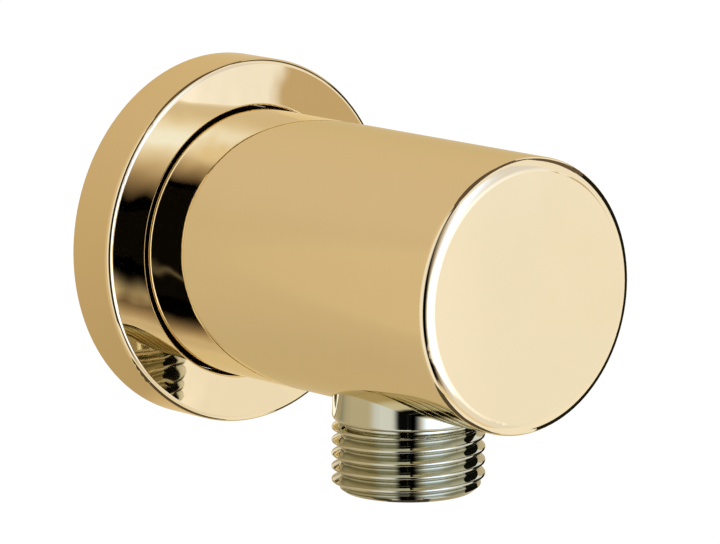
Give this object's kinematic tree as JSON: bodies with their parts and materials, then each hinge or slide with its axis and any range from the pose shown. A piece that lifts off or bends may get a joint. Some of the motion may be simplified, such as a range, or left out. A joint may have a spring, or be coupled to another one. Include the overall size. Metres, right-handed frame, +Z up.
{
  "type": "shower hose wall outlet",
  "caption": "Wall outlet elbow for a shower hose: a polished gold cylinder on a flat round cover ring, with a nickel threaded nipple below and a sprung non-return valve inside it.",
  "frame": {"origin": "on the wall plane, at the body's axis", "axes": "+Y into the wall and the front towards -Y, +Z up with the hose outlet pointing along -Z, +X to the right seen from the front"},
  "size_m": [0.0512, 0.0768, 0.0554],
  "materials": {
    "gold": "mirror-polished gold coating on brass",
    "nickel": "bright nickel plate on turned brass",
    "raw_brass": "turned brass",
    "steel": "stainless steel",
    "rubber": "black rubber",
    "gasket": "dark closed-cell foam",
    "valve_plastic": "off-white moulded plastic",
    "poppet_plastic": "blue-grey moulded plastic"
  },
  "bodies": {
    "outlet": {"elbow_body": "gold", "wall_flange": "gold", "flange_o_ring": "rubber", "wall_gasket": "gasket", "wall_nipple": "raw_brass", "nipple_o_rings": "rubber", "grub_screw": "steel", "outlet_nipple": "nickel", "outlet_o_ring": "rubber", "valve_housing": "valve_plastic", "valve_o_ring": "rubber", "valve_cage": "valve_plastic", "valve_spring": "steel"},
    "poppet": {"valve_poppet": "poppet_plastic", "poppet_seal": "rubber"}
  },
  "joints": [
    {"name": "valve_lift", "type": "slide", "parent": "outlet", "child": "poppet", "axis": [0, 0, -1], "range_m": [0, 0.003], "stiffness_N_per_m": 60, "springref_m": -0.0036, "deforming": ["valve_spring"]}
  ]
}
